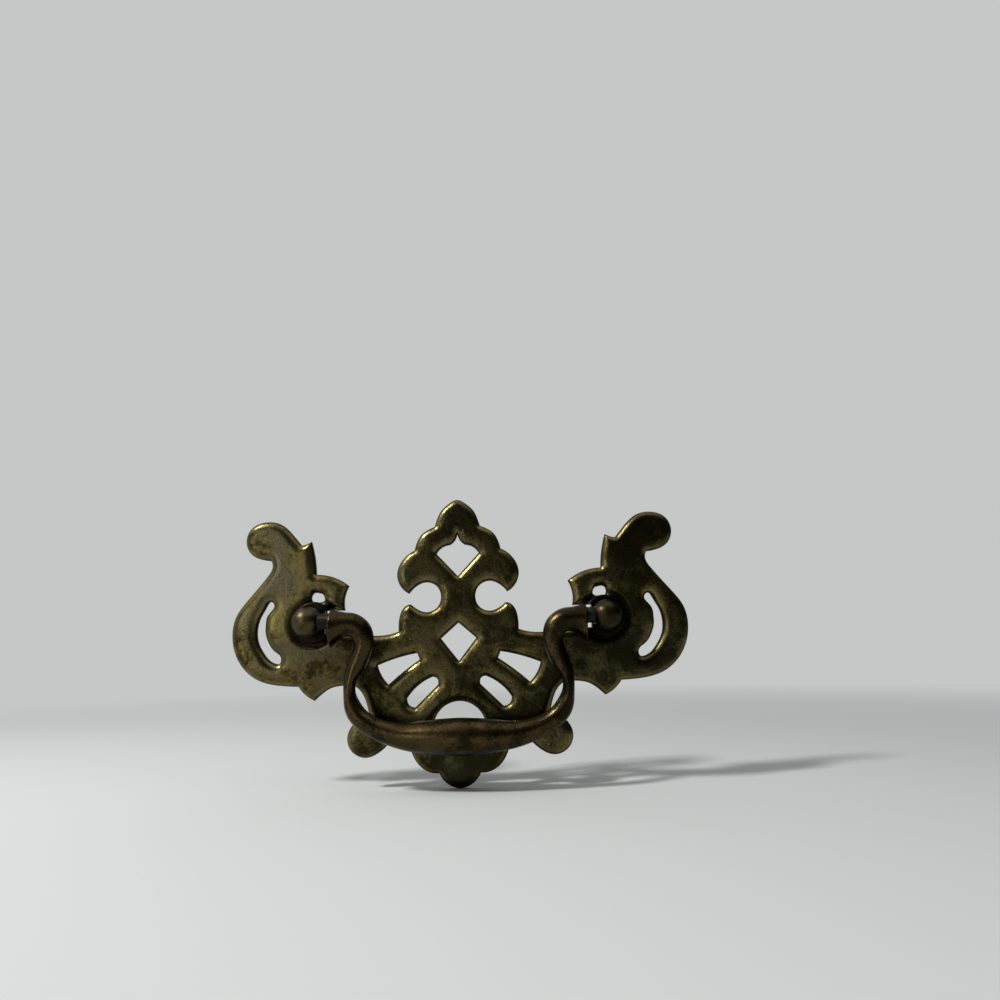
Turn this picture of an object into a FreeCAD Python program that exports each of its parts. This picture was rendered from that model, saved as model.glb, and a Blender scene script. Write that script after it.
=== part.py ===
import FreeCAD, Part
import math
import os

V = FreeCAD.Vector

# Frame: the pull as it is mounted. X runs to the right, Z is up and the front faces -Y.
# The origin lies midway between the two posts on the flat back of the plate.

# Driving sizes, in millimetres.
SIZES = {
    "post_spacing": 69.85,
    "plate_thickness": 1.8,
    "crest_height": 29.24,
    "apron_drop": 38.59,
    "centre_width": 52.98,
    "wing_rise": 24.93,
    "wing_drop": 18.33,
    "wing_reach": 19.85,
    "bay_height": 5.4,
    "bay_to_post": 3.1,
    "dish_radius": 6.5,
    "dish_depth": 0.4,
    "foot_radius": 4.95,
    "foot_height": 1.1,
    "neck_radius": 2.95,
    "head_radius": 3.45,
    "head_back": 4.1,
    "post_height": 10.65,
    "flat_to_axis": 3.05,
    "spigot_radius": 2.4,
    "screw_hole_radius": 1.73,
    "screw_hole_depth": 4.6,
    "pivot_height": 7.35,
    "pin_radius": 1.8,
    "pin_clearance": 0.05,
    "pin_reach": 2.4,
    "pin_seat": 3.6,
    "pin_end_gap": 0.8,
    "boss_gap": 2.15,
    "bail_drop": 26.35,
    "bail_shift": 0.45,
    "grip_diameter": 8.25,
    "grip_depth": 8.05,
    "arm_diameter": 4.2,
    "arm_depth": 4.1,
    "boss_height": 8.8,
    "boss_depth": 6.6,
    "collar_width": 2.0,
    "collar_drop": 1.3,
}

# Half outlines, drawn on the right and mirrored. Each run is one smooth curve from corner to corner,
# two points are a straight line. The crest and the apron are drawn from the middle of the plate.
CREST_LOBE = [(0.0, 29.24), (2.38, 28.05), (3.94, 26.58), (4.86, 24.84), (5.59, 22.64)]
CREST = [
    [(5.59, 22.64), (7.24, 21.91), (8.71, 20.9), (9.81, 19.25), (10.54, 16.87)],
    [(10.54, 16.87), (13.29, 14.85), (14.85, 11.0), (14.02, 8.25), (11.87, 6.37)],
    [
        (11.87, 6.37), (10.27, 8.02), (7.7, 9.03), (5.13, 7.97), (4.17, 5.45),
        (5.13, 2.93), (7.7, 1.88), (10.08, 2.75), (11.5, 3.85),
    ],
    [(11.5, 3.85), (13.02, 3.21), (14.12, 1.28), (14.44, -2.57)],
]
BAND = [(14.44, -2.57), (17.19, -3.3), (22.92, -3.21)]
APRON = [
    [(25.3, -14.94), (23.1, -16.77), (21.91, -19.43), (21.08, -22.69)],
    [
        (21.08, -22.69), (24.93, -23.74), (26.49, -27.04), (25.21, -30.16),
        (22.05, -31.49), (19.16, -30.52), (17.05, -28.78),
    ],
    [(17.05, -28.78), (14.39, -27.41), (11.73, -28.97)],
    [(11.73, -28.97), (11.09, -30.98), (9.72, -33.18), (7.79, -34.65), (4.86, -35.2)],
]
APRON_LOBE = [(0.0, -38.59), (2.34, -37.95), (4.03, -36.57), (4.86, -35.2)]
# The wing is drawn from the axis of its post.
WING = [
    [(-7.52, 3.02), (-7.38, 5.77), (-8.39, 8.62)],
    [(-8.39, 8.62), (-5.09, 10.63), (-0.32, 11.6)],
    [(-0.32, 11.6), (0.05, 15.4), (1.1, 19.75)],
    [(1.1, 19.75), (2.29, 19.16), (3.53, 18.88)],
    [
        (3.53, 18.88), (6.05, 21.91), (9.03, 24.38), (12.65, 24.93), (15.95, 23.56),
        (17.32, 20.26), (15.95, 16.96), (13.2, 15.58), (11.0, 15.22),
    ],
    [
        (11.0, 15.22), (10.59, 13.93), (12.01, 11.05), (16.36, 5.77), (19.1, 1.79),
        (19.85, -2.43), (18.2, -8.62), (13.66, -13.11), (7.52, -14.76), (3.39, -15.03),
    ],
    [(3.39, -15.03), (2.11, -16.59), (0.69, -17.69), (-0.55, -18.33)],
]
WING_HEEL = [(-0.55, -18.33), (-2.2, -16.87), (-4.45, -15.49), (-6.87, -15.03)]

# See-through openings of the plate. The first three cross the middle and are drawn as right halves.
TOP_HOLE = [
    [(0.0, 20.67), (0.55, 19.16), (1.83, 18.01)],
    [(1.83, 18.01), (3.94, 17.28), (5.13, 15.9)],
    [(5.13, 15.9), (0.0, 10.4)],
]
DIAMOND = [
    [(0.0, -0.82), (4.22, -4.49)],
    [(4.22, -4.49), (0.0, -9.81)],
]
ARCH = [(0.0, -19.07), (4.37, -20.88), (6.14, -24.38), (6.05, -26.49)]
# The lattice openings stand right and left of the middle.
OUTER_LATTICE = [
    [(19.43, -10.45), (14.67, -8.8), (9.99, -7.75)],
    [(9.99, -7.75), (9.35, -9.26)],
    [(9.35, -9.26), (13.38, -12.1), (16.82, -14.94)],
    [(16.82, -14.94), (18.42, -12.92), (19.43, -10.45)],
]
INNER_LATTICE = [
    [(6.32, -13.38), (9.72, -15.31), (12.37, -18.24)],
    [(12.37, -18.24), (11.82, -19.8), (10.45, -20.35)],
    [(10.45, -20.35), (5.04, -15.22)],
    [(5.04, -15.22), (5.22, -13.84), (6.32, -13.38)],
]
# The wing openings are closed curves drawn from the axis of the post.
CRESCENT = [
    (11.82, -0.92), (11.09, -4.31), (9.26, -6.78), (7.88, -8.07), (8.07, -9.44), (9.72, -9.26), (11.82, -7.33),
    (13.38, -4.58), (13.8, -1.74), (13.11, 1.47), (11.82, 3.85), (10.63, 5.22), (9.9, 4.58), (11.27, 2.11),
]
EYE = [(-0.82, 7.1), (0.64, 6.42), (0.55, 5.22), (-0.92, 4.86), (-2.38, 5.41), (-2.02, 6.69)]
# Half width, height above and depth below the datum at which the outlines are drawn.
DRAWN_CENTRE = (26.49, 29.24, 38.59)
DRAWN_WING = (19.85, 24.93, 18.33)

# The bail's centre line, drawn from the middle of the pivot axis: a point, then how much of the section
# there is grip and how much is boss. What is neither is arm.
BAIL_LINE = [
    ((0.0, -26.35), 1.0, 0.0),
    ((3.67, -26.35), 0.93, 0.0),
    ((7.79, -26.31), 0.74, 0.0),
    ((12.83, -25.99), 0.41, 0.0),
    ((18.33, -24.47), 0.14, 0.0),
    ((22.37, -22.0), 0.03, 0.0),
    ((24.57, -18.79), 0.0, 0.0),
    ((24.93, -15.58), 0.0, 0.0),
    ((24.02, -11.73), 0.0, 0.0),
    ((22.55, -8.07), 0.0, 0.02),
    ((21.82, -5.13), 0.0, 0.1),
    ((22.55, -2.57), 0.0, 0.25),
    ((24.57, -1.01), 0.0, 0.45),
    ((26.58, -0.69), 0.0, 0.52),
    ((28.78, -0.73), 0.0, 0.58),
]


def fill_sheet(doc):
    sheet = doc.addObject("Spreadsheet::Sheet", "Sizes")
    for row, (name, value) in enumerate(SIZES.items(), start=1):
        sheet.set(f"A{row}", name)
        sheet.set(f"B{row}", str(value))
        sheet.setAlias(f"B{row}", name)
    doc.recompute()
    return sheet


def origin_plane(body, role):
    return next(f for f in body.Origin.OriginFeatures if f.Role == role)


def new_sketch(body, name, role, distance=None):
    """A sketch on one of the body's own planes, moved along its normal by an expression."""
    sketch = body.newObject("Sketcher::SketchObject", name)
    sketch.AttachmentSupport = [(origin_plane(body, role), "")]
    sketch.MapMode = "FlatFace"
    if distance:
        sketch.setExpression("AttachmentOffset.Base.z", distance)
    return sketch


def new_body(doc, name):
    body = doc.addObject("PartDesign::Body", name)
    body.Label = name
    return body


def pad(body, sketch, name, length):
    feature = body.newObject("PartDesign::Pad", name)
    feature.Profile = sketch
    feature.setExpression("Length", length)
    return feature


def pocket(body, sketch, name, length=None, forward=False):
    """Cuts against the sketch's normal, or along it when forward; with no length it cuts right through."""
    feature = body.newObject("PartDesign::Pocket", name)
    feature.Profile = sketch
    feature.Reversed = forward
    if length:
        feature.setExpression("Length", length)
    else:
        feature.Type = "ThroughAll"
    return feature


def stretch(drawn, width, up, down, datum=0.0):
    """Carries a drawn point to the plate: sideways, upward and downward each to its own size."""
    def place(point):
        x, z = point
        rise = up / drawn[1] if z > 0 else down / drawn[2]
        return (datum + x * width / drawn[0], z * rise)
    return place


def carried(runs, place):
    return [[place(point) for point in run] for run in runs]


def curve(run, closed=False):
    points = [V(x, z, 0) for x, z in run]
    if len(points) == 2:
        return Part.LineSegment(*points)
    line = Part.BSplineCurve()
    line.interpolate(points, PeriodicFlag=closed)
    return line


def mirrored(run):
    return [(-x, z) for x, z in run]


def across(run):
    """A run that starts on the middle line, carried through to its own mirror image."""
    return mirrored(run[:0:-1]) + run


def both_sides(runs):
    return [curve(side) for run in runs for side in (run, mirrored(run))]


def rectangle(x0, x1, z0, z1):
    corners = [V(x0, z0, 0), V(x1, z0, 0), V(x1, z1, 0), V(x0, z1, 0)]
    return [Part.LineSegment(corners[i], corners[(i + 1) % 4]) for i in range(4)]


def make_back_plate(doc, size):
    half = size("post_spacing") / 2
    bay = size("bay_height") / 2
    bay_end = half - size("bay_to_post")
    centre = stretch(DRAWN_CENTRE, size("centre_width") / 2, size("crest_height"), size("apron_drop"))
    wing = stretch(DRAWN_WING, size("wing_reach"), size("wing_rise"), size("wing_drop"), half)
    sides = carried(CREST, centre)
    sides.append([centre(point) for point in BAND] + [(bay_end, -bay)])
    sides.append([(bay_end, -bay), (bay_end, bay)])
    wings = carried(WING, wing)
    wings[0][0] = (wings[0][0][0], bay)
    sides.append([(bay_end, bay), wings[0][0]])
    sides += wings
    aprons = carried(APRON, centre)
    sides.append([wing(point) for point in WING_HEEL] + [aprons[0][0]])
    sides += aprons

    body = new_body(doc, "back_plate")
    face = new_sketch(body, "plate_outline", "XZ_Plane")
    face.addGeometry(both_sides(sides))
    for lobe in carried([CREST_LOBE, APRON_LOBE], centre):
        face.addGeometry(curve(across(lobe)))
    pad(body, face, "plate_sheet", "Sizes.plate_thickness")

    holes = new_sketch(body, "plate_openings", "XZ_Plane")
    holes.addGeometry(both_sides(carried(TOP_HOLE + DIAMOND + OUTER_LATTICE + INNER_LATTICE, centre)))
    arch = [centre(point) for point in ARCH]
    holes.addGeometry([curve(across(arch)), curve([arch[-1], mirrored(arch)[-1]])])
    for loop in carried([CRESCENT, EYE], wing):
        holes.addGeometry([curve(loop, True), curve(mirrored(loop), True)])
    pocket(body, holes, "pierced_work", forward=True)

    seats = new_sketch(body, "post_seats", "XZ_Plane")
    for side in (1, -1):
        seats.addGeometry(Part.Circle(V(side * half, 0, 0), V(0, 0, 1), size("spigot_radius")))
    pocket(body, seats, "seat_holes", forward=True)

    dishes = new_sketch(body, "post_dishes", "XZ_Plane", "Sizes.plate_thickness")
    for side in (1, -1):
        dishes.addGeometry(Part.Circle(V(side * half, 0, 0), V(0, 0, 1), size("dish_radius")))
    pocket(body, dishes, "dish_cuts", "Sizes.dish_depth", forward=False)
    return body


def section(rows):
    """A closed half section: each row is a point on an arc, or None for a straight line, and where it ends."""
    edges = []
    here = V(*rows[-1][1], 0)
    for via, end in rows:
        there = V(*end, 0)
        edge = Part.Arc(here, V(*via, 0), there) if via else Part.LineSegment(here, there)
        edges.append(edge)
        here = there
    return edges


def post_profile(size):
    """Half section of the post: how far from its axis, and how far in front of the plate's back."""
    seat = size("plate_thickness") - size("dish_depth")
    foot = seat + size("foot_height")
    soft = size("foot_height") / 2
    back = size("head_back")
    head = size("head_radius")
    dome = size("post_height") - head
    lean = math.sqrt(0.5)
    wide = size("foot_radius")
    neck = size("neck_radius")
    swell = head - neck
    rows = [
        (None, (size("spigot_radius"), 0.0)),
        (None, (size("spigot_radius"), seat)),
        (None, (wide, seat)),
        (None, (wide, foot - soft)),
        ((wide - soft * (1 - lean), foot - soft * (1 - lean)), (wide - soft, foot)),
        (None, (neck, foot)),
        (None, (neck, back)),
        ((neck + swell * lean, back + swell * (1 - lean)), (head, back + swell)),
        (None, (head, dome)),
        ((head * lean, dome + head * lean), (0.0, size("post_height"))),
        (None, (0.0, 0.0)),
    ]
    return [(via and (via[0], -via[1]), (end[0], -end[1])) for via, end in rows]


def make_post(doc, size, name, side):
    """The right post, or the left one as the same casting turned half round its own axis."""
    body = new_body(doc, name)
    profile = new_sketch(body, name + "_profile", "XY_Plane")
    profile.addGeometry(section(post_profile(size)))
    turned = body.newObject("PartDesign::Revolution", name + "_turned")
    turned.Profile = profile
    turned.ReferenceAxis = (profile, ["V_Axis"])
    turned.Angle = 360

    outside = size("foot_radius") + 1
    seat = "Sizes.plate_thickness - Sizes.dish_depth"
    flat = new_sketch(body, name + "_flat", "XZ_Plane", f"{seat} + Sizes.foot_height")
    flat.addGeometry(rectangle(-outside, -size("flat_to_axis"), -outside, outside))
    pocket(body, flat, name + "_flat_cut", forward=True)

    bay = size("bay_height") / 2
    notch = new_sketch(body, name + "_notch", "XZ_Plane", seat)
    notch.addGeometry(rectangle(-outside, -size("bay_to_post"), -bay, bay))
    pocket(body, notch, name + "_notch_cut", "Sizes.foot_height", forward=True)

    socket = new_sketch(body, name + "_socket", "YZ_Plane", "-Sizes.flat_to_axis")
    centre = V(-size("pivot_height"), 0, 0)
    socket.addGeometry(Part.Circle(centre, V(0, 0, 1), size("pin_radius") + size("pin_clearance")))
    pocket(body, socket, name + "_socket_bore", "Sizes.pin_reach + Sizes.pin_end_gap", forward=True)

    screw = new_sketch(body, name + "_screw", "XZ_Plane")
    screw.addGeometry(Part.Circle(V(0, 0, 0), V(0, 0, 1), size("screw_hole_radius")))
    pocket(body, screw, name + "_screw_bore", "Sizes.screw_hole_depth", forward=True)

    turn = 0 if side > 0 else 180
    body.Placement = FreeCAD.Placement(V(0, 0, 0), FreeCAD.Rotation(V(0, 1, 0), turn))
    body.setExpression("Placement.Base.x", f"{side} * Sizes.post_spacing / 2")
    return body


def bail_stations(size):
    """Where the bail's sections stand, which way they face, and their height and depth, from end to end."""
    boss_end = size("post_spacing") / 2 - size("flat_to_axis") - size("boss_gap")
    wide = (boss_end - size("collar_width") / 2) / BAIL_LINE[-1][0][0]
    deep = size("bail_drop") / -BAIL_LINE[0][0][1]
    right = [(x * wide, z * deep, grip, boss) for (x, z), grip, boss in BAIL_LINE]
    rows = [(-x, z, grip, boss) for x, z, grip, boss in right[:0:-1]] + right
    line = Part.BSplineCurve()
    points = [V(x, 0, z) for x, z, _, _ in rows]
    line.interpolate(points, InitialTangent=V(1, 0, 0), FinalTangent=V(1, 0, 0))
    stations = []
    for (x, z, grip, boss), point in zip(rows, points):
        ahead = line.tangent(line.parameter(point))[0]
        facing = math.degrees(math.atan2(ahead.z, ahead.x))
        arm = 1 - grip - boss
        height = arm * size("arm_diameter") + grip * size("grip_diameter") + boss * size("boss_height")
        depth = arm * size("arm_depth") + grip * size("grip_depth") + boss * size("boss_depth")
        stations.append((x, z, facing, height, depth))
    return stations


def make_bail(doc, size):
    body = new_body(doc, "bail")
    sections = []
    for number, (x, z, facing, height, depth) in enumerate(bail_stations(size)):
        section = new_sketch(body, f"bail_section_{number}", "YZ_Plane")
        section.AttachmentOffset = FreeCAD.Placement(V(0, z, x), FreeCAD.Rotation(V(1, 0, 0), -facing))
        section.addGeometry(Part.Ellipse(V(0, height / 2, 0), V(depth / 2, 0, 0), V(0, 0, 0)))
        sections.append(section)
    swept = body.newObject("PartDesign::AdditiveLoft", "bail_swept")
    swept.Profile = sections[0]
    swept.Sections = sections[1:]

    end = "Sizes.post_spacing / 2 - Sizes.flat_to_axis - Sizes.boss_gap"
    middle = V(0, -size("collar_drop"), 0)
    tall = V(0, size("boss_height") / 2, 0)
    broad = V(size("boss_depth") / 2, 0, 0)
    for name, start in (("right", f"{end} - Sizes.collar_width"), ("left", f"-({end})")):
        collar = new_sketch(body, f"{name}_collar_outline", "YZ_Plane", start)
        collar.addGeometry(Part.Ellipse(middle + tall, middle + broad, middle))
        pad(body, collar, f"{name}_collar", "Sizes.collar_width")
    for side, name in ((1, "right"), (-1, "left")):
        seat = new_sketch(body, f"{name}_pin_seat", "YZ_Plane", f"{side} * ({end})")
        seat.addGeometry(Part.Circle(V(0, 0, 0), V(0, 0, 1), size("pin_radius")))
        pocket(body, seat, f"{name}_pin_bore", "Sizes.pin_seat", forward=side < 0)
    body.setExpression("Placement.Base.x", "Sizes.bail_shift")
    body.setExpression("Placement.Base.y", "-Sizes.pivot_height")
    return body


def make_pin(doc, name, side):
    """A steel pin, pressed into the bail's end and free in the post's socket."""
    pin = doc.addObject("Part::Cylinder", name)
    pin.Label = name
    pin.setExpression("Radius", "Sizes.pin_radius")
    pin.setExpression("Height", "Sizes.pin_seat + Sizes.boss_gap + Sizes.pin_reach")
    pin.Placement = FreeCAD.Placement(V(0, 0, 0), FreeCAD.Rotation(V(0, 1, 0), side * 90))
    root = "Sizes.post_spacing / 2 - Sizes.flat_to_axis - Sizes.boss_gap - Sizes.pin_seat"
    pin.setExpression("Placement.Base.x", f"Sizes.bail_shift + {side} * ({root})")
    pin.setExpression("Placement.Base.y", "-Sizes.pivot_height")
    return pin


def main():
    doc = FreeCAD.newDocument("bail_pull")
    size = fill_sheet(doc).get
    parts = [
        make_back_plate(doc, size),
        make_post(doc, size, "right_post", 1),
        make_post(doc, size, "left_post", -1),
        make_bail(doc, size),
        make_pin(doc, "right_pin", 1),
        make_pin(doc, "left_pin", -1),
    ]
    doc.recompute()
    for item in doc.Objects:
        if "Invalid" in item.State or "Error" in item.State:
            raise RuntimeError(f"{item.Name} did not build: {item.State}")
    for part in parts:
        if part.Shape.isNull() or not part.Shape.isValid() or len(part.Shape.Solids) != 1:
            raise RuntimeError(f"{part.Label} is not one valid solid")
    os.makedirs("parts", exist_ok=True)
    for part in parts:
        part.Shape.exportStep(f"parts/{part.Label}.step")
        print(part.Label, round(part.Shape.Volume, 2))


main()
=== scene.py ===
from collections import namedtuple
import math

import bpy
from mathutils import Matrix, Vector
from mathutils.geometry import delaunay_2d_cdt
from mathutils.kdtree import KDTree


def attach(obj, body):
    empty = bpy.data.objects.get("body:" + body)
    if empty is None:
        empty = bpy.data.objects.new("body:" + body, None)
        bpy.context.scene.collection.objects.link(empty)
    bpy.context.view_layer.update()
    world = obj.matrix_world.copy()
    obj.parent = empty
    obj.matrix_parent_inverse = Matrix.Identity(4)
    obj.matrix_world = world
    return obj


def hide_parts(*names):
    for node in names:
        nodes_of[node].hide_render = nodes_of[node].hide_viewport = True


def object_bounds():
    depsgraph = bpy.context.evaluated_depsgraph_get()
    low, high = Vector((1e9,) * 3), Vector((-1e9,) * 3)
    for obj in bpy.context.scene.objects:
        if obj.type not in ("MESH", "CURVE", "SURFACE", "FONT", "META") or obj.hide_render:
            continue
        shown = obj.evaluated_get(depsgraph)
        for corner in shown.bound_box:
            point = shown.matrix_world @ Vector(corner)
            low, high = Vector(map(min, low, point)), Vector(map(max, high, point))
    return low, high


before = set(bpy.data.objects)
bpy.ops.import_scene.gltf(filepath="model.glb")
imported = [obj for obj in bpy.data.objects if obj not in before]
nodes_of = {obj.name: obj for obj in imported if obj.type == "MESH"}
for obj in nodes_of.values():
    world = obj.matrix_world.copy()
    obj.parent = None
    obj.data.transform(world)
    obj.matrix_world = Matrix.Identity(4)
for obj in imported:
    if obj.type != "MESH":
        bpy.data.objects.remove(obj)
cad_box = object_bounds()

# Millimetres in a metre: the frame is in metres, the shapes and patterns below are in millimetres.
MM = 1000.0
SHARP_ANGLE = math.radians(48)

# The cast plate: how its front rolls over towards every outline, where rows of points stand in the rolled
# band, as degrees that the front has turned through, and the dish round each post.
PLATE_FRONT = -1.8
EDGE_REACH = 2.1
EDGE_FALL = 1.35
EDGE_STEPS = (14.0, 28.0, 44.0, 60.0, 75.0)
EDGE_CROWDING = 0.9
OUTLINE_STEP = 0.3
OUTLINE_SPLIT = 4
INSIDE_STEP = 0.5
SAME_POINT = 1e-5
POST_X = 34.925
DISH_RADIUS = 6.5
DISH_RIM = 0.9
DISH_DEPTH = 0.4
SEAT_RADIUS = 2.5

# The bail as it hangs: a point of its centre line from the middle outward, then the section's height and
# depth there. It swells into the grip and flares at the end, where the lower lip hangs down.
PIVOT = (0.45, -7.35)
BAIL_ROWS = (
    ((0.0, -26.35), 8.25, 8.05), ((3.67, -26.35), 7.97, 7.77), ((7.79, -26.31), 7.2, 7.02),
    ((12.83, -25.99), 5.86, 5.72), ((18.33, -24.47), 4.77, 4.65), ((22.37, -22.0), 4.32, 4.22),
    ((24.57, -18.79), 4.2, 4.1), ((24.93, -15.58), 4.2, 4.1), ((24.02, -11.73), 4.2, 4.1),
    ((22.55, -8.07), 4.3, 4.15), ((21.82, -5.13), 4.6, 4.35), ((22.45, -2.6), 5.1, 4.7),
    ((24.3, -1.05), 5.4, 5.1), ((26.4, -0.85), 5.7, 5.4), ((27.9, -1.15), 6.8, 5.9),
    ((29.0, -1.6), 8.0, 6.4), ((29.5, -1.75), 8.4, 6.6), ((29.7, -1.75), 8.1, 6.4),
)
BOSS_FROM = 23.0
BOSS_LEVEL = 26.5
BAIL_ROUND = 48
BAIL_SPLIT = 8

# Colours of the metal.
PATINA = (0.021, 0.017, 0.0066)
GOLD = (0.120, 0.096, 0.034)
DARK_BROWN = (0.017, 0.013, 0.0058)
RUBBED = (0.088, 0.061, 0.025)
GREY = (0.050, 0.046, 0.034)
# The dark of tarnish, used also for painted shade.
TARNISH_AND_SHADE = (0.006, 0.005, 0.003)
STEEL = (0.022, 0.019, 0.015)
STEEL_DARK = (0.008, 0.007, 0.005)

# A pattern: how wide its blotches are, and how many finer layers it has and how strong they are.
Pattern = namedtuple("Pattern", ("width", "detail", "roughness"))
BROAD = Pattern(16.0, 3.0, 0.5)
MIDDLE = Pattern(4.0, 6.0, 0.68)
FINE = Pattern(0.5, 4.0, 0.65)
HAZE = Pattern(8.0, 5.0, 0.65)
PITS = Pattern(0.28, 2.0, 0.5)
STEEL_BLOTCH = Pattern(1.6, 4.0, 0.6)

# A fade: between which values of a pattern or a distance it runs, and what it is before and after them.
Fade = namedtuple("Fade", ("start", "end", "before", "after"), defaults=(0.0, 1.0))
# Painted sheen: the metal is lighter towards the left, where the light falls, with some lighter patina there
# too.
LIGHTER_LEFT_SHEEN = Fade(-50.0, 45.0, 0.07, -0.04)
# Painted shadow: the metal is darker at the foot, where the bail's shadow falls.
PAINTED_FOOT_SHADOW = Fade(-38.0, -27.0, -0.16, 0.0)
LIGHT_SHOWS = Fade(0.42, 0.62)
HAZE_SHOWS = Fade(0.42, 0.6)
# Painted sheen: the grey haze is stronger towards the left, where the light falls; the haze blotches
# themselves are the metal's tone.
HAZE_LEFT_SHEEN = Fade(-50.0, 15.0, 0.75, 0.2)
PIT_SHOWS = Fade(0.62, 0.72)
PITS_GATHER = Fade(0.4, 0.6, 0.15, 0.75)
# A line rubbed bright beside the outline, partly wear and partly a painted highlight.
WEAR_HIGHLIGHT_FROM = Fade(0.12, 0.35)
WEAR_HIGHLIGHT_TO = Fade(0.6, 1.3, 1.0, 0.0)
WEAR_HIGHLIGHT_PATCHES = Fade(0.3, 0.55, 0.35, 1.0)
# The outline darkened, partly tarnish and partly painted shade in the walls of the openings.
RIM_TARNISH_AND_SHADE = Fade(0.08, 0.42, 0.9, 0.0)
# Darker in the corners, partly patina and partly painted shade.
CORNER_PATINA_AND_SHADE = Fade(0.25, 0.8, 0.85, 0.0)
# Painted shadow in the dish round each post, on the front only.
DISH_SHADOW_FRONT = Fade(-1.2, -0.3, 1.0, 0.0)
DISH_SHADOW_EDGE = Fade(DISH_RADIUS - 1.2, DISH_RADIUS + 0.1, 1.0, 0.0)
# Painted shade at the post's foot.
POST_FOOT_SHADE = Fade(-6.0, -3.6)
STEEL_SHOWS = Fade(0.35, 0.7)
STEEL_ROUGH = Fade(0.3, 0.7, 0.35, 0.55)

# Shares of the patterns in the metal's colour, in its roughness and in its relief.
BLOTCH_SHARE = 0.5
MEAN_GRAIN = 0.5
GRAIN_SHARE = 0.25
# How much brighter than the lighter metal the worn line with its painted highlight is.
WEAR_HIGHLIGHT_GAIN = 2.4
CORNER_SHADE_LEVEL = 0.3
SHADED_SHARE = 0.92
ROUGH_SPAN = (0.35, 0.65)
ROUGHER = 0.08
SMOOTHER = 0.04
PIT_ROUGH = 0.25
GRAIN_RELIEF = 0.35
BLOTCH_RELIEF = 0.8
PIT_RELIEF = 0.2
BRASS_BUMP = 0.35
STEEL_BUMP = 0.2
STEEL_METALLIC = 0.9

# Lengths that nodes take in metres, and how often they look round.
BUMP_DEPTH = 0.0002
CORNER_REACH = 0.004
CORNER_SAMPLES = 8
BEVEL_SAMPLES = 6

# The stage, in metres and watts. A card has the two ends of its foot, the height of its top and its grey.
# A lamp is square and has its place, the point that it is aimed at, its side and its power.
PALE = (0.56, 0.575, 0.565)
WHITE = (1.0, 1.0, 1.0)
WORLD_LIGHT = 0.45
FLOOR_REACH = 4.0
FLOOR_HAZE = Fade(0.12, 0.5)
CARDS = {
    "front_card": ((-0.9, -0.9), (0.7, -0.9), 0.9, 0.08),
    "right_card": ((0.7, -0.9), (0.5, 0.35), 0.7, 0.03),
}
LAMPS = {
    "window": ((-0.34, -0.24, 0.40), (0.0, 0.0, -0.01), 0.075, 3.2),
    "far_window": ((-0.36, -0.58, 0.10), (-0.02, 0.0, 0.0), 0.22, 0.6),
    "ceiling": ((0.1, -0.1, 0.6), (0.0, 0.0, 0.0), 0.5, 0.4),
}

# The camera stands where the photograph's stood, in metres and unit directions of the frame.
CAMERA_PLACE = Vector((0.01574, -0.18379, -0.00688))
CAMERA_RIGHT = Vector((0.99922, 0.03207, -0.02293))
CAMERA_AHEAD = Vector((-0.02709, 0.98111, 0.19155))
CAMERA_NEAR = 0.005
FOCAL_PIXELS = 755.0
IMAGE_PIXELS = 1000.0
SENSOR_MM = 36.0


class Nodes:
    """Builds the nodes of one material or of the world."""

    def __init__(self, tree):
        self.tree = tree
        self.tree.nodes.clear()

    def set(self, socket, value):
        if isinstance(value, bpy.types.NodeSocket):
            self.tree.links.new(value, socket)
        elif socket.type == "RGBA":
            socket.default_value = (*value, 1.0)
        else:
            socket.default_value = value

    def add(self, kind, inputs=None, **settings):
        node = self.tree.nodes.new(kind)
        for name, value in settings.items():
            setattr(node, name, value)
        for name, value in (inputs or {}).items():
            self.set(node.inputs[name], value)
        return node

    def math(self, operation, first, second=0.0):
        return self.add("ShaderNodeMath", {0: first, 1: second}, operation=operation).outputs[0]

    def plus(self, first, second):
        return self.math("ADD", first, second)

    def minus(self, first, second):
        return self.math("SUBTRACT", first, second)

    def times(self, first, second):
        return self.math("MULTIPLY", first, second)

    def place(self):
        """Where a point of the object is, in millimetres."""
        here = self.add("ShaderNodeTexCoord").outputs["Object"]
        return self.add("ShaderNodeVectorMath", {0: here, "Scale": MM}, operation="SCALE").outputs[0]

    def parts(self, place):
        return self.add("ShaderNodeSeparateXYZ", {"Vector": place}).outputs

    def noise(self, place, pattern):
        """The pattern's value at a place, from 0 to 1."""
        inputs = {
            "Vector": place, "Scale": 1 / pattern.width,
            "Detail": pattern.detail, "Roughness": pattern.roughness,
        }
        return self.add("ShaderNodeTexNoise", inputs).outputs["Fac"]

    def fade(self, value, fade):
        inputs = {
            "Value": value, "From Min": fade.start, "From Max": fade.end,
            "To Min": fade.before, "To Max": fade.after,
        }
        return self.add("ShaderNodeMapRange", inputs, interpolation_type="SMOOTHSTEP").outputs["Result"]

    def mix(self, share, below, above):
        """The colour below, with this share of the one above over it."""
        node = self.add("ShaderNodeMix", {"Factor": share}, data_type="RGBA")
        colours = [socket for socket in node.inputs if socket.type == "RGBA"]
        for socket, colour in zip(colours, (below, above)):
            self.set(socket, colour)
        return next(socket for socket in node.outputs if socket.type == "RGBA")


def sides(face):
    """The sides of a face, as pairs of its corners in their order."""
    return zip(face, face[1:] + face[:1])


def open_sides(faces):
    """The sides that only one of the faces has, each in its face's order."""
    found = set()
    for face in faces:
        for start, end in sides(face):
            if (end, start) in found:
                found.remove((end, start))
            elif start != end:
                found.add((start, end))
    return found


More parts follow.
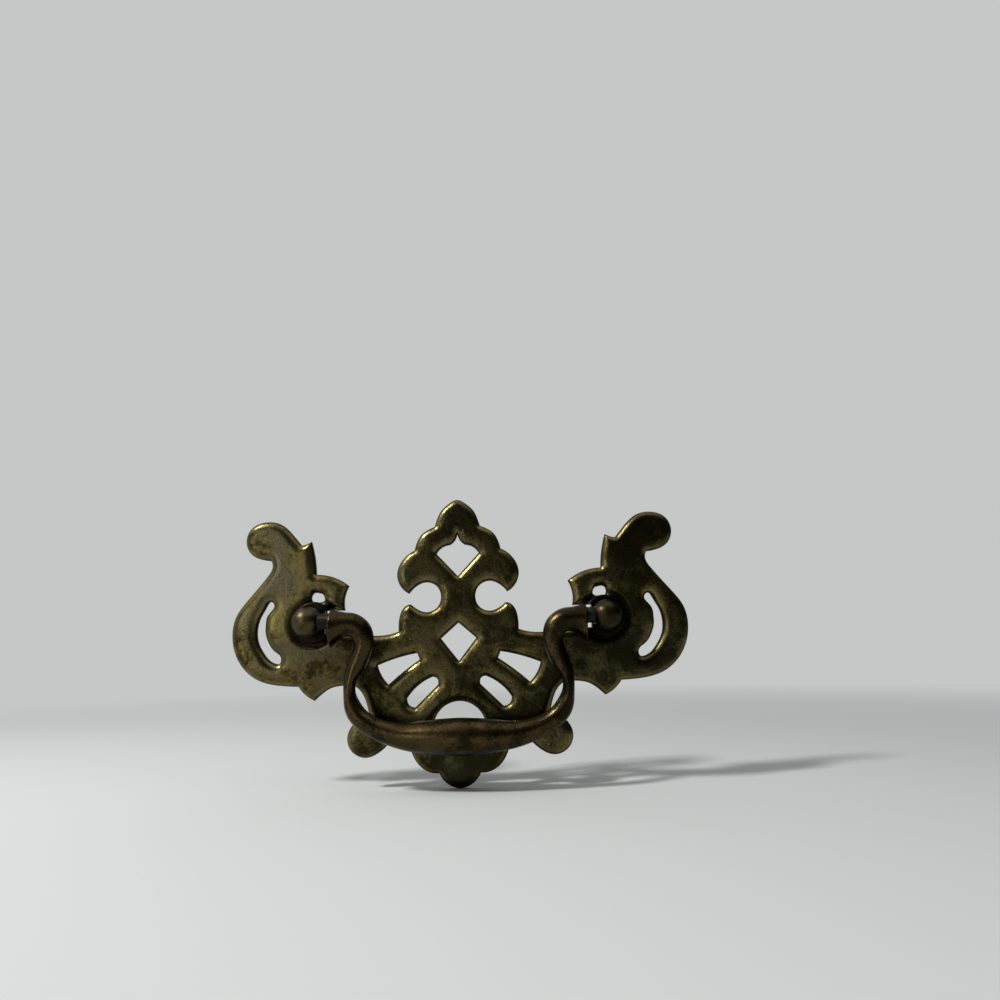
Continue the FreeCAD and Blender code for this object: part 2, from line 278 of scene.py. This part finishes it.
def back_outline(mesh):
    """The outline of the plate's flat back, as point pairs in its plane, the metal to the right of each."""
    points = [[round(value * MM, 4) for value in vertex.co] for vertex in mesh.vertices]
    faces = [[points[i] for i in face.vertices] for face in mesh.polygons]
    flat = [face for face in faces if all(y == 0.0 for _, y, _ in face)]
    return open_sides([(x, z) for x, _, z in face] for face in flat)


def cut_finer(edges, step):
    """The same outline in pieces no longer than the step: points, their pairs, and the way into the metal."""
    points = []
    numbers = {}
    pairs = []
    ways = []

    def number(point):
        if point not in numbers:
            numbers[point] = len(points)
            points.append(point)
            ways.append([0.0, 0.0])
        return numbers[point]

    for (x0, z0), (x1, z1) in sorted(edges):
        length = math.hypot(x1 - x0, z1 - z0)
        way = ((z1 - z0) / length, (x0 - x1) / length)
        parts = max(1, math.ceil(length / step))
        line = [(x0 + (x1 - x0) * i / parts, z0 + (z1 - z0) * i / parts) for i in range(1, parts)]
        row = [number(point) for point in [(x0, z0), *line, (x1, z1)]]
        for first, second in zip(row, row[1:]):
            pairs.append((first, second))
            for end in (first, second):
                ways[end][0] += way[0]
                ways[end][1] += way[1]
    ways = [Vector(way).normalized() for way in ways]
    return [Vector(point) for point in points], pairs, ways


def from_post(point):
    return math.hypot(abs(point.x) - POST_X, point.y)


def inward(turn):
    """How far from the outline the front has turned through this many degrees, on its way over the edge."""
    return EDGE_REACH * (1 - math.cos(math.radians(turn)))


def roll(distance):
    """How far the front lies behind its highest level at this distance from the outline."""
    if distance >= EDGE_REACH:
        return 0.0
    return EDGE_FALL * (1 - math.sqrt(1 - (1 - distance / EDGE_REACH) ** 2))


def dish(point):
    """How deep the dish round a post is at this point."""
    share = min(max((DISH_RADIUS - from_post(point)) / DISH_RIM, 0.0), 1.0)
    return DISH_DEPTH * share * share * (3 - 2 * share)


def outline_finder(outline, pairs, rim):
    """A search tree of places along the rim, each with the number of the outline point before it."""
    near = KDTree(OUTLINE_SPLIT * len(pairs))
    for first, second in pairs:
        if first in rim:
            for part in range(OUTLINE_SPLIT):
                place = outline[first].lerp(outline[second], part / OUTLINE_SPLIT)
                near.insert(place.to_3d(), first)
    near.balance()
    return near


def edge_points(outline, ways, rim, near):
    """Rows of points beside the rim, over which the front rolls, left out where another side is nearer."""
    points = []
    for turn in EDGE_STEPS:
        depth = inward(turn)
        for i in sorted(rim):
            place = outline[i] + ways[i] * depth
            if near.find(place.to_3d())[2] > EDGE_CROWDING * depth:
                points.append(place)
    return points


def inside_points(outline, ways, near):
    """Points all over the metal inside the rolled band, in staggered columns."""
    low = [min(point[axis] for point in outline) for axis in (0, 1)]
    high = [max(point[axis] for point in outline) for axis in (0, 1)]
    clear = inward(EDGE_STEPS[-1]) + INSIDE_STEP / 2
    points = []
    for column in range(int((high[0] - low[0]) / INSIDE_STEP)):
        for row in range(int((high[1] - low[1]) / INSIDE_STEP)):
            across = low[0] + (column + 0.5) * INSIDE_STEP
            up = low[1] + (row + 0.5 * (column % 2)) * INSIDE_STEP
            place = Vector((across, up))
            _, first, distance = near.find(place.to_3d())
            if distance > clear and (place - outline[first]).dot(ways[first]) > 0:
                points.append(place)
    return points


def filled(faces, metal_side):
    """The faces that can be reached from the metal's side of the outline without crossing it."""
    owner = {side: number for number, face in enumerate(faces) for side in sides(face)}
    kept = {owner[side] for side in metal_side if side in owner}
    waiting = list(kept)
    while waiting:
        for first, second in sides(faces[waiting.pop()]):
            beyond = owner.get((second, first))
            if (first, second) not in metal_side and beyond is not None and beyond not in kept:
                kept.add(beyond)
                waiting.append(beyond)
    return [faces[number] for number in sorted(kept)]


def closed_skin(faces, count):
    """The front's faces, the back's, whose points are numbered after the front's, and walls between them."""
    skin = [tuple(face) for face in faces]
    skin += [tuple(count + i for i in reversed(face)) for face in faces]
    walls = sorted(open_sides(faces))
    return skin + [(second, first, count + first, count + second) for first, second in walls]


def add_object(name, points, faces):
    mesh = bpy.data.meshes.new(name)
    mesh.from_pydata(points, [], faces)
    piece = bpy.data.objects.new(name, mesh)
    bpy.context.scene.collection.objects.link(piece)
    return piece


def smooth(mesh):
    mesh.shade_smooth()
    mesh.set_sharp_from_angle(angle=SHARP_ANGLE)


def make_cast_plate(node):
    """The pierced plate with its front edges rolled over, as a casting has them, on the node's own outline."""
    outline, pairs, ways = cut_finer(back_outline(node.data), OUTLINE_STEP)
    rim = {i for i, point in enumerate(outline) if from_post(point) > SEAT_RADIUS}
    near = outline_finder(outline, pairs, rim)
    points = outline + edge_points(outline, ways, rim, near) + inside_points(outline, ways, near)
    # Output type 0 has every triangle, also over the openings.
    flat, _, faces, sources, *_ = delaunay_2d_cdt(points, pairs, [], 0, SAME_POINT)
    new_number = {old: new for new, olds in enumerate(sources) for old in olds}
    metal_side = {(new_number[second], new_number[first]) for first, second in pairs}
    faces = filled(faces, metal_side)

    front = []
    from_edge = []
    for point in flat:
        distance = near.find(point.to_3d())[2]
        front.append((point.x / MM, (PLATE_FRONT + roll(distance) + dish(point)) / MM, point.y / MM))
        from_edge.append(distance)
    back = [(x, 0.0, z) for x, _, z in front]
    plate = add_object("cast_plate", front + back, closed_skin(faces, len(front)))
    depth = plate.data.attributes.new("from_edge", "FLOAT", "POINT")
    depth.data.foreach_set("value", from_edge + from_edge)
    smooth(plate.data)
    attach(plate, "plate")
    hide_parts("back_plate")
    return plate


def between(before, first, second, after, share):
    """The smooth curve through four rows of numbers, at this share of the way from the first to the second."""
    values = []
    for a, b, c, d in zip(before, first, second, after):
        turn = 2 * a - 5 * b + 4 * c - d
        bend = 3 * (b - c) + d - a
        values.append(b + 0.5 * share * (c - a + share * (turn + share * bend)))
    return values


def bail_line():
    """The centre line from the left lip through the grip to the right lip, with each section's size."""
    right = [(x, z, height, depth) for (x, z), height, depth in BAIL_ROWS]
    rows = [(-x, z, height, depth) for x, z, height, depth in right[:0:-1]] + right
    padded = [rows[0], *rows, rows[-1]]
    line = []
    for i in range(len(rows) - 1):
        line += [between(*padded[i:i + 4], part / BAIL_SPLIT) for part in range(BAIL_SPLIT)]
    return line + [rows[-1]]


def bail_section(line, i):
    """The points round one section. It stands square to the line, and upright in the boss."""
    x, z, height, depth = line[i]
    before, after = line[max(i - 1, 0)], line[min(i + 1, len(line) - 1)]
    way = Vector((after[0] - before[0], after[1] - before[1])).normalized()
    level = min(max((abs(x) - BOSS_FROM) / (BOSS_LEVEL - BOSS_FROM), 0.0), 1.0)
    way = way.lerp(Vector((1.0, 0.0)), level).normalized()
    points = []
    for step in range(BAIL_ROUND):
        turn = 2 * math.pi * step / BAIL_ROUND
        up = math.cos(turn) * height / 2
        out = math.sin(turn) * depth / 2
        points.append((x - way.y * up + PIVOT[0], out + PIVOT[1], z + way.x * up))
    return points


def make_handled_bail():
    """The bail as one smooth sweep, closed at both lips."""
    line = bail_line()
    points = []
    faces = []
    for i in range(len(line)):
        points += bail_section(line, i)
    for i in range(len(line) - 1):
        for step in range(BAIL_ROUND):
            here = i * BAIL_ROUND + step
            beside = i * BAIL_ROUND + (step + 1) % BAIL_ROUND
            faces.append((here, here + BAIL_ROUND, beside + BAIL_ROUND, beside))
    for i in (0, len(line) - 1):
        centre = len(points)
        points.append((line[i][0] + PIVOT[0], PIVOT[1], line[i][1]))
        for step in range(BAIL_ROUND):
            pair = (i * BAIL_ROUND + step, i * BAIL_ROUND + (step + 1) % BAIL_ROUND)
            faces.append((centre, *(pair if i == 0 else pair[::-1])))
    points = [tuple(value / MM for value in point) for point in points]
    bail = add_object("handled_bail", points, faces)
    smooth(bail.data)
    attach(bail, "bail")
    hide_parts("bail")
    return bail


def new_material(name):
    material = bpy.data.materials.new(name)
    material.use_nodes = True
    return material, Nodes(material.node_tree)


def times_light(colour, factor):
    return tuple(factor * value for value in colour)


def light_share(nodes, parts, middle, fine, broad):
    """How much of the lighter metal shows: in blotches with fine grain, more at the left as painted sheen with
    some lighter patina, less at the foot as painted shadow.
    """
    share = nodes.plus(nodes.times(broad, BLOTCH_SHARE), nodes.times(middle, BLOTCH_SHARE))
    share = nodes.plus(share, nodes.times(nodes.minus(fine, MEAN_GRAIN), GRAIN_SHARE))
    # Painted sheen towards the left, partly lighter patina.
    share = nodes.plus(share, nodes.fade(parts["X"], LIGHTER_LEFT_SHEEN))
    # Painted shadow of the bail at the foot.
    return nodes.plus(share, nodes.fade(parts["Z"], PAINTED_FOOT_SHADOW))


def worn_and_highlit_rim(nodes, colour, middle, light, wear_and_highlight):
    """The colour with a line beside the outline made bright, partly rubbed wear and partly a painted
    highlight, and the outline itself darkened with tarnish and painted shade.
    """
    distance = nodes.add("ShaderNodeAttribute", attribute_name="from_edge").outputs["Fac"]
    # Rubbed wear with a painted highlight along the rims.
    line = nodes.times(nodes.fade(distance, WEAR_HIGHLIGHT_FROM), nodes.fade(distance, WEAR_HIGHLIGHT_TO))
    line = nodes.times(nodes.times(line, nodes.fade(middle, WEAR_HIGHLIGHT_PATCHES)), wear_and_highlight)
    colour = nodes.mix(line, colour, times_light(light, WEAR_HIGHLIGHT_GAIN))
    # Tarnish and painted shade on the outline.
    return nodes.mix(nodes.fade(distance, RIM_TARNISH_AND_SHADE), colour, TARNISH_AND_SHADE)


def brass(name, dark, light, haze, rough, wear_and_highlight=0.0, soften=0.0, shaded=None):
    """Old brass: patina over lighter metal in blotches, with painted sheen at the left and painted shadow at
    the foot, hazy, finely pitted, and darker in the corners with patina and painted shade.

    Its rims get a bright line of wear and painted highlight by the share wear_and_highlight, with a dark
    outline of tarnish and painted shade, its sharp edges look rounded over soften millimetres, and it gets
    painted shade where the function shaded says so.
    """
    material, nodes = new_material(name)
    place = nodes.place()
    parts = nodes.parts(place)
    middle = nodes.noise(place, MIDDLE)
    fine = nodes.noise(place, FINE)
    pits = nodes.fade(nodes.noise(place, PITS), PIT_SHOWS)
    pits = nodes.times(pits, nodes.fade(middle, PITS_GATHER))

    share = light_share(nodes, parts, middle, fine, nodes.noise(place, BROAD))
    colour = nodes.mix(nodes.fade(share, LIGHT_SHOWS), dark, light)
    hazy = nodes.fade(nodes.noise(place, HAZE), HAZE_SHOWS)
    # More haze towards the left, as painted sheen.
    hazy = nodes.times(hazy, nodes.fade(parts["X"], HAZE_LEFT_SHEEN))
    colour = nodes.mix(hazy, colour, haze)
    colour = nodes.mix(pits, colour, TARNISH_AND_SHADE)
    if wear_and_highlight:
        colour = worn_and_highlit_rim(nodes, colour, middle, light, wear_and_highlight)
    # Painted shade with patina in the corners, from how closed in each point is.
    corners = nodes.add("ShaderNodeAmbientOcclusion", {"Distance": CORNER_REACH}, samples=CORNER_SAMPLES)
    corner_shade = nodes.fade(corners.outputs["AO"], CORNER_PATINA_AND_SHADE)
    colour = nodes.mix(corner_shade, colour, times_light(dark, CORNER_SHADE_LEVEL))
    if shaded:
        # Painted shade where the function shaded says so.
        colour = nodes.mix(nodes.times(shaded(nodes, parts), SHADED_SHARE), colour, TARNISH_AND_SHADE)

    roughness = nodes.fade(middle, Fade(*ROUGH_SPAN, rough + ROUGHER, rough - SMOOTHER))
    roughness = nodes.plus(roughness, nodes.times(pits, PIT_ROUGH))
    height = nodes.plus(nodes.times(fine, GRAIN_RELIEF), nodes.times(middle, BLOTCH_RELIEF))
    height = nodes.minus(height, nodes.times(pits, PIT_RELIEF))
    bump = {"Height": height, "Strength": BRASS_BUMP, "Distance": BUMP_DEPTH}
    if soften:
        bevel = nodes.add("ShaderNodeBevel", {"Radius": soften / MM}, samples=BEVEL_SAMPLES)
        bump["Normal"] = bevel.outputs["Normal"]
    surface = nodes.add("ShaderNodeBsdfPrincipled", {
        "Base Color": colour, "Roughness": roughness, "Metallic": 1.0,
        "Normal": nodes.add("ShaderNodeBump", bump).outputs["Normal"],
    })
    nodes.add("ShaderNodeOutputMaterial", {"Surface": surface.outputs[0]})
    return material


def shadow_round_the_posts(nodes, parts):
    """1 in the dish round either post, where the shadow of the head is painted, and 0 away from it."""
    sideways = nodes.minus(nodes.math("ABSOLUTE", parts["X"]), POST_X)
    squares = nodes.plus(nodes.math("POWER", sideways, 2.0), nodes.math("POWER", parts["Z"], 2.0))
    distance = nodes.math("SQRT", squares)
    return nodes.times(nodes.fade(parts["Y"], DISH_SHADOW_FRONT), nodes.fade(distance, DISH_SHADOW_EDGE))


def shade_at_the_foot(nodes, parts):
    """1 at the post's foot, where shade is painted, and 0 on its head."""
    return nodes.fade(parts["Y"], POST_FOOT_SHADE)


def steel(name):
    """Old steel, blotched dark."""
    material, nodes = new_material(name)
    blotch = nodes.noise(nodes.place(), STEEL_BLOTCH)
    bump = {"Height": blotch, "Strength": STEEL_BUMP, "Distance": BUMP_DEPTH}
    surface = nodes.add("ShaderNodeBsdfPrincipled", {
        "Base Color": nodes.mix(nodes.fade(blotch, STEEL_SHOWS), STEEL, STEEL_DARK),
        "Roughness": nodes.fade(blotch, STEEL_ROUGH), "Metallic": STEEL_METALLIC,
        "Normal": nodes.add("ShaderNodeBump", bump).outputs["Normal"],
    })
    nodes.add("ShaderNodeOutputMaterial", {"Surface": surface.outputs[0]})
    return material


def dress(piece, material):
    if not piece.material_slots:
        piece.data.materials.append(material)
    for slot in piece.material_slots:
        slot.material = material


def make_floor(level):
    """A wide pale floor that fades into the pale surroundings."""
    way = ((-1, -1), (1, -1), (1, 1), (-1, 1))
    floor = add_object("floor", [(x * FLOOR_REACH, y * FLOOR_REACH, level) for x, y in way], [(0, 1, 2, 3)])
    material, nodes = new_material("floor_paper")
    place = nodes.add("ShaderNodeNewGeometry").outputs["Position"]
    distance = nodes.add("ShaderNodeVectorMath", {0: place}, operation="LENGTH").outputs["Value"]
    paper = nodes.add("ShaderNodeBsdfDiffuse", {"Color": PALE}).outputs[0]
    haze = nodes.add("ShaderNodeEmission", {"Color": PALE}).outputs[0]
    far = nodes.fade(distance, FLOOR_HAZE)
    surface = nodes.add("ShaderNodeMixShader", {0: far, 1: paper, 2: haze}).outputs[0]
    nodes.add("ShaderNodeOutputMaterial", {"Surface": surface})
    floor.data.materials.append(material)


def make_world():
    """Pale to the camera and in the metal's reflections, and a weaker white as light."""
    world = bpy.data.worlds.new("surroundings")
    world.use_nodes = True
    bpy.context.scene.world = world
    nodes = Nodes(world.node_tree)
    path = nodes.add("ShaderNodeLightPath").outputs
    seen = nodes.math("MAXIMUM", path["Is Camera Ray"], path["Is Transmission Ray"])
    seen = nodes.math("MAXIMUM", seen, path["Is Glossy Ray"])
    pale = nodes.add("ShaderNodeBackground", {"Color": PALE, "Strength": 1.0}).outputs[0]
    fill = nodes.add("ShaderNodeBackground", {"Color": WHITE, "Strength": WORLD_LIGHT}).outputs[0]
    surface = nodes.add("ShaderNodeMixShader", {0: seen, 1: fill, 2: pale}).outputs[0]
    nodes.add("ShaderNodeOutputWorld", {"Surface": surface})


def make_card(name, low, start, end, high, grey):
    """An upright grey card: the metal mirrors it, which draws its edges, and the camera doesn't see it."""
    corners = [(*start, low), (*end, low), (*end, high), (*start, high)]
    card = add_object(name, corners, [(0, 1, 2, 3)])
    card.visible_camera = False
    material, nodes = new_material(name)
    dim = nodes.add("ShaderNodeEmission", {"Color": (grey, grey, grey)}).outputs[0]
    nodes.add("ShaderNodeOutputMaterial", {"Surface": dim})
    card.data.materials.append(material)


def add_lamp(name, place, aim, side, power):
    data = bpy.data.lights.new(name, "AREA")
    data.size = side
    data.energy = power
    lamp = bpy.data.objects.new(name, data)
    lamp.location = place
    lamp.rotation_euler = (Vector(aim) - Vector(place)).to_track_quat("-Z", "Y").to_euler()
    bpy.context.scene.collection.objects.link(lamp)


def add_camera():
    data = bpy.data.cameras.new("camera")
    data.sensor_width = SENSOR_MM
    data.lens = FOCAL_PIXELS / IMAGE_PIXELS * SENSOR_MM
    data.clip_start = CAMERA_NEAR
    camera = bpy.data.objects.new("camera", data)
    ahead = CAMERA_AHEAD.normalized()
    right = (CAMERA_RIGHT - CAMERA_RIGHT.dot(ahead) * ahead).normalized()
    up = right.cross(ahead)
    turn = Matrix((right, up, -ahead)).transposed()
    camera.matrix_world = Matrix.Translation(CAMERA_PLACE) @ turn.to_4x4()
    bpy.context.scene.collection.objects.link(camera)
    bpy.context.scene.camera = camera


# The plate's rims carry wear with a painted highlight, and its dishes round the posts a painted shadow.
plate_brass = brass("plate_brass", PATINA, GOLD, GREY, rough=0.27, wear_and_highlight=0.3, shaded=shadow_round_the_posts)
# The posts get painted shade at their foot.
post_brass = brass("post_brass", PATINA, RUBBED, GREY, rough=0.33, soften=0.3, shaded=shade_at_the_foot)
bail_brass = brass("bail_brass", DARK_BROWN, RUBBED, DARK_BROWN, rough=0.25)
pin_steel = steel("pin_steel")

dress(make_cast_plate(nodes_of["back_plate"]), plate_brass)
dress(nodes_of["left_post"], post_brass)
dress(nodes_of["right_post"], post_brass)
dress(make_handled_bail(), bail_brass)
dress(nodes_of["left_pin"], pin_steel)
dress(nodes_of["right_pin"], pin_steel)

floor_level = cad_box[0][2]
make_floor(floor_level)
make_world()
for name, card in CARDS.items():
    make_card(name, floor_level, *card)
for name, lamp in LAMPS.items():
    add_lamp(name, *lamp)
add_camera()
bpy.context.scene.view_settings.view_transform = "Standard"
